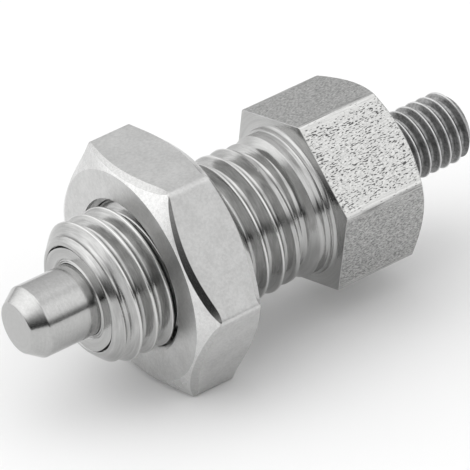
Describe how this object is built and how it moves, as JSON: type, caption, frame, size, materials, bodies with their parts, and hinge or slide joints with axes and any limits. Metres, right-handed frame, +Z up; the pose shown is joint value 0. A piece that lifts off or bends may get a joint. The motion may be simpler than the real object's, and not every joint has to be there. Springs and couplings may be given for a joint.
{
  "type": "index plunger",
  "caption": "Spring-loaded locating pin in a threaded steel sleeve with a hexagon head, a lock nut and a threaded pull stud.",
  "frame": {"origin": "on the plunger's axis, in the plane of the hexagon's front shoulder", "axes": "+X along the plunger's axis towards the pull stud, so the locating pin points to -X; +Z up, square to a flat of the lock nut"},
  "size_m": [0.0421, 0.0214, 0.0186],
  "materials": {
    "sleeve_steel": "drawn and pitted on the hexagon's flats, fine turned elsewhere",
    "bush_steel": "fine turned",
    "pin_steel": "ground and polished",
    "spring_steel": "bright drawn wire",
    "nut_steel": "satin"
  },
  "bodies": {
    "guide": {"guide_sleeve": "sleeve_steel", "guide_bush": "bush_steel", "compression_spring": "spring_steel"},
    "plunger": {"plunger_pin": "pin_steel"},
    "nut": {"lock_nut": "nut_steel"}
  },
  "joints": [
    {"name": "plunger_pull", "type": "slide", "parent": "guide", "child": "plunger", "axis": [1, 0, 0], "range_m": [0, 0.006], "stiffness_N_per_m": 1400, "springref_m": -0.0043, "deforming": ["compression_spring"]},
    {"name": "lock_nut_turn", "type": "hinge", "parent": "guide", "child": "nut", "pos_m": [-0.0124, 0, 0], "axis": [1, 0, 0], "continuous": true}
  ]
}
